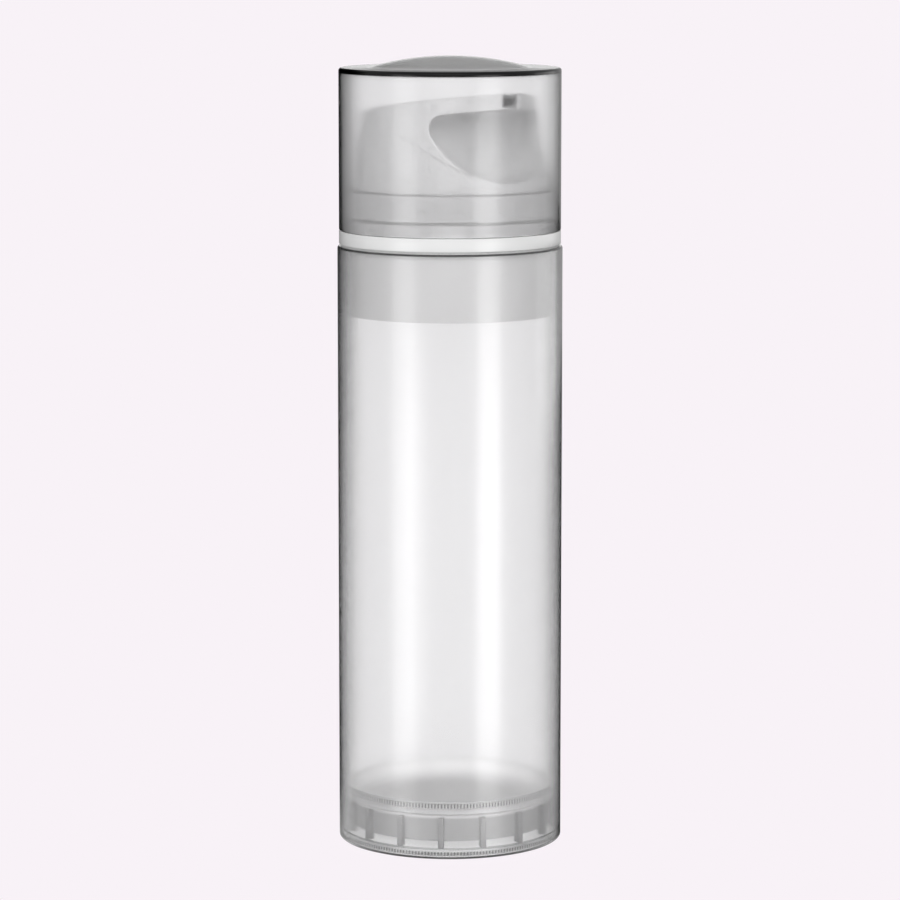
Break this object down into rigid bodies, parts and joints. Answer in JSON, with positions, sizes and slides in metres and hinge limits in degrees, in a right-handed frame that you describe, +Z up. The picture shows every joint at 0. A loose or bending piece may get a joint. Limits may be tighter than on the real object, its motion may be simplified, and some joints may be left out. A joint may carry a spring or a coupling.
{
  "type": "airless pump bottle",
  "caption": "Slim round airless pump bottle: translucent body with a rising piston, sprung dosing pump, press-down head with scooped spout, and a domed lift-off overcap.",
  "frame": {"origin": "centre of the foot, in the plane of the ring that the bottle stands on", "axes": "+Z up along the bottle's axis, -Y towards the spout, +X completes the right-handed frame"},
  "size_m": [0.035, 0.035, 0.123],
  "materials": {
    "frosted_shell": "translucent frosted polypropylene",
    "frosted_cap": "translucent frosted polypropylene, darker at its rounded top edge",
    "white_plastic": "moulded white polypropylene",
    "collar_plastic": "opaque white polypropylene, smooth",
    "head_plastic": "moulded white polypropylene, satin",
    "nozzle_plastic": "moulded white polypropylene",
    "piston_plastic": "soft moulded polyethylene",
    "gasket_foam": "closed cell sealing foam",
    "spring_steel": "drawn stainless wire",
    "ball_steel": "ground stainless ball"
  },
  "bodies": {
    "bottle": {"bottle_body": "frosted_shell", "base_disc": "white_plastic", "pump_housing": "white_plastic", "retaining_ring": "white_plastic", "neck_gasket": "gasket_foam", "collar": "collar_plastic", "return_spring": "spring_steel"},
    "follower": {"follower_piston": "piston_plastic"},
    "ball": {"inlet_ball": "ball_steel"},
    "plunger": {"stem": "white_plastic", "poppet": "white_plastic"},
    "dosing_piston": {"pump_piston": "piston_plastic"},
    "head": {"actuator": "head_plastic", "nozzle_insert": "nozzle_plastic"},
    "cap": {"overcap": "frosted_cap"}
  },
  "joints": [
    {"name": "pump_stroke", "type": "slide", "parent": "bottle", "child": "plunger", "axis": [0, 0, -1], "range_m": [0, 0.0042], "stiffness_N_per_m": 2000, "springref_m": -0.004, "deforming": ["return_spring"]},
    {"name": "head_turn", "type": "hinge", "parent": "plunger", "child": "head", "pos_m": [0, 0, 0.109], "axis": [0, 0, 1], "continuous": true},
    {"name": "piston_lost_motion", "type": "slide", "parent": "plunger", "child": "dosing_piston", "axis": [0, 0, 1], "range_m": [0, 0.00095]},
    {"name": "inlet_ball_lift", "type": "slide", "parent": "bottle", "child": "ball", "axis": [0, 0, 1], "range_m": [0, 0.0006]},
    {"name": "follower_rise", "type": "slide", "parent": "bottle", "child": "follower", "axis": [0, 0, 1], "range_m": [0, 0.0735]},
    {"name": "cap_lift", "type": "slide", "parent": "bottle", "child": "cap", "axis": [0, 0, 1], "range_m": [0, 0.03]}
  ]
}
